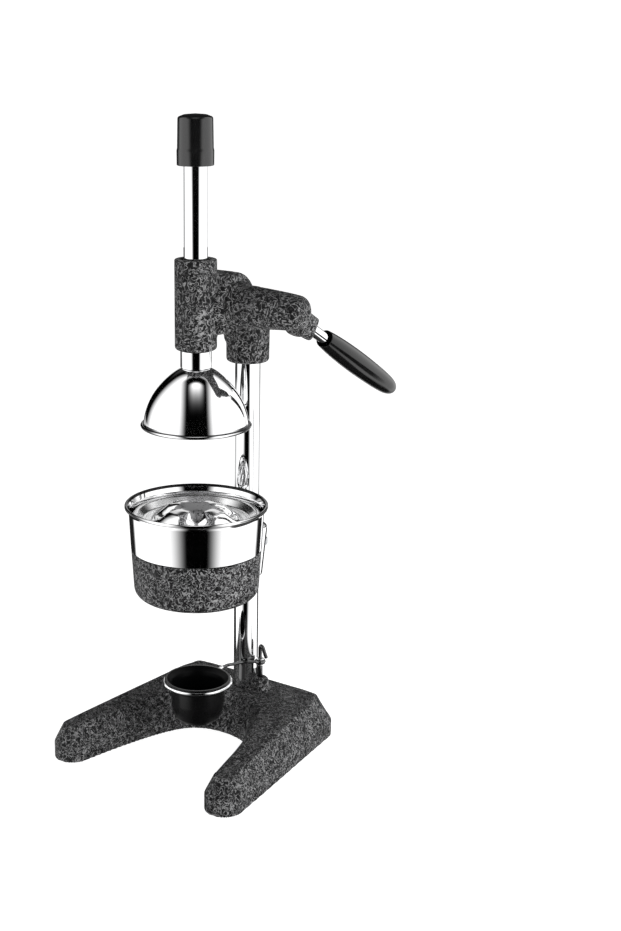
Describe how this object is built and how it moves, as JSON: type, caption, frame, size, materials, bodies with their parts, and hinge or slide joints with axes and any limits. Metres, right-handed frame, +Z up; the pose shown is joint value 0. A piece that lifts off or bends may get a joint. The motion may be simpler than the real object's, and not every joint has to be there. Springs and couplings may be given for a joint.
{
  "type": "lever citrus juice press",
  "caption": "Standing lever press for citrus: the geared side lever lowers a bell over a fluted reamer and strainer in a clamped bowl, over an arched base with a swing-out drip cup.",
  "frame": {"origin": "middle of the footprint (bounding box) on the table", "axes": "+Z up; -Y is the front, where the user stands and the legs open; +X is the lever side"},
  "size_m": [0.2362, 0.3532, 0.6657],
  "materials": {
    "granite_coat": "black powder coat with a fine silver-grey vein pattern on a casting",
    "chrome_plate": "bright chrome plate",
    "polished_stainless": "mirror-polished stainless sheet",
    "machined_steel": "machined and lightly oiled",
    "zinc_plated": "bright zinc plate",
    "sintered_bronze": "oiled bearing bronze",
    "gloss_black_plastic": "moulded, glossy",
    "black_cup_plastic": "moulded, semi-gloss",
    "black_rubber": "moulded, matt"
  },
  "bodies": {
    "frame": {"base_casting": "granite_coat", "bowl_clamp_screw": "zinc_plated", "bowl_holder": "granite_coat", "column_bolt": "zinc_plated", "column_plug": "machined_steel", "column_tube": "chrome_plate", "column_washer": "zinc_plated", "cover_screw_1": "zinc_plated", "cover_screw_2": "zinc_plated", "cover_screw_3": "zinc_plated", "cover_screw_4": "zinc_plated", "drip_pivot_pin": "chrome_plate", "foot_screw_front_left": "zinc_plated", "foot_screw_front_right": "zinc_plated", "foot_screw_rear_left": "zinc_plated", "foot_screw_rear_right": "zinc_plated", "gear_cover": "granite_coat", "guide_bush_lower": "sintered_bronze", "guide_bush_upper": "sintered_bronze", "head_casting": "granite_coat", "head_clamp_screw_lower": "zinc_plated", "head_clamp_screw_upper": "zinc_plated", "rubber_foot_front_left": "black_rubber", "rubber_foot_front_right": "black_rubber", "rubber_foot_rear_left": "black_rubber", "rubber_foot_rear_right": "black_rubber", "shaft_bush_left": "sintered_bronze", "shaft_bush_right": "sintered_bronze"},
    "lever": {"pinion_gear": "machined_steel", "pinion_shaft": "machined_steel", "shaft_key": "machined_steel", "lever_hub": "granite_coat", "hub_set_screw": "zinc_plated", "lever_rod": "chrome_plate", "lever_grip": "gloss_black_plastic"},
    "ram": {"ram_rack": "chrome_plate", "ram_cap": "gloss_black_plastic", "bell_neck": "chrome_plate", "press_bell": "polished_stainless", "bell_washer": "polished_stainless", "bell_nut": "polished_stainless"},
    "bowl": {"juice_bowl": "polished_stainless"},
    "strainer": {"reamer_strainer": "polished_stainless"},
    "drip_slider": {"drip_arm_bush": "chrome_plate"},
    "drip_swing_arm": {"drip_arm": "chrome_plate"},
    "cup": {"drip_cup": "black_cup_plastic"}
  },
  "joints": [
    {"name": "lever_turn", "type": "hinge", "parent": "frame", "child": "lever", "pos_m": [0, -0.036, 0.479], "axis": [1, 0, 0], "range_deg": [0, 201.5]},
    {"name": "ram_slide", "type": "slide", "parent": "frame", "child": "ram", "axis": [0, 0, -1], "range_m": [0, 0.088]},
    {"name": "bowl_lift", "type": "slide", "parent": "frame", "child": "bowl", "axis": [0, 0, -1], "range_m": [-0.048, 0]},
    {"name": "strainer_lift", "type": "slide", "parent": "bowl", "child": "strainer", "axis": [0, 0, -1], "range_m": [-0.04, 0]},
    {"name": "drip_lift", "type": "slide", "parent": "frame", "child": "drip_slider", "axis": [0, 0, 1], "range_m": [0, 0.006]},
    {"name": "drip_swing", "type": "hinge", "parent": "drip_slider", "child": "drip_swing_arm", "pos_m": [0.0205, 0.018, 0.078], "axis": [0, 0, 1], "range_deg": [0, 25]},
    {"name": "cup_lift", "type": "slide", "parent": "drip_swing_arm", "child": "cup", "axis": [0, 0, 1], "range_m": [0, 0.045]}
  ],
  "couplings": [
    {"joint": "ram_slide", "follows": "lever_turn", "m_per_rad": 0.025}
  ]
}
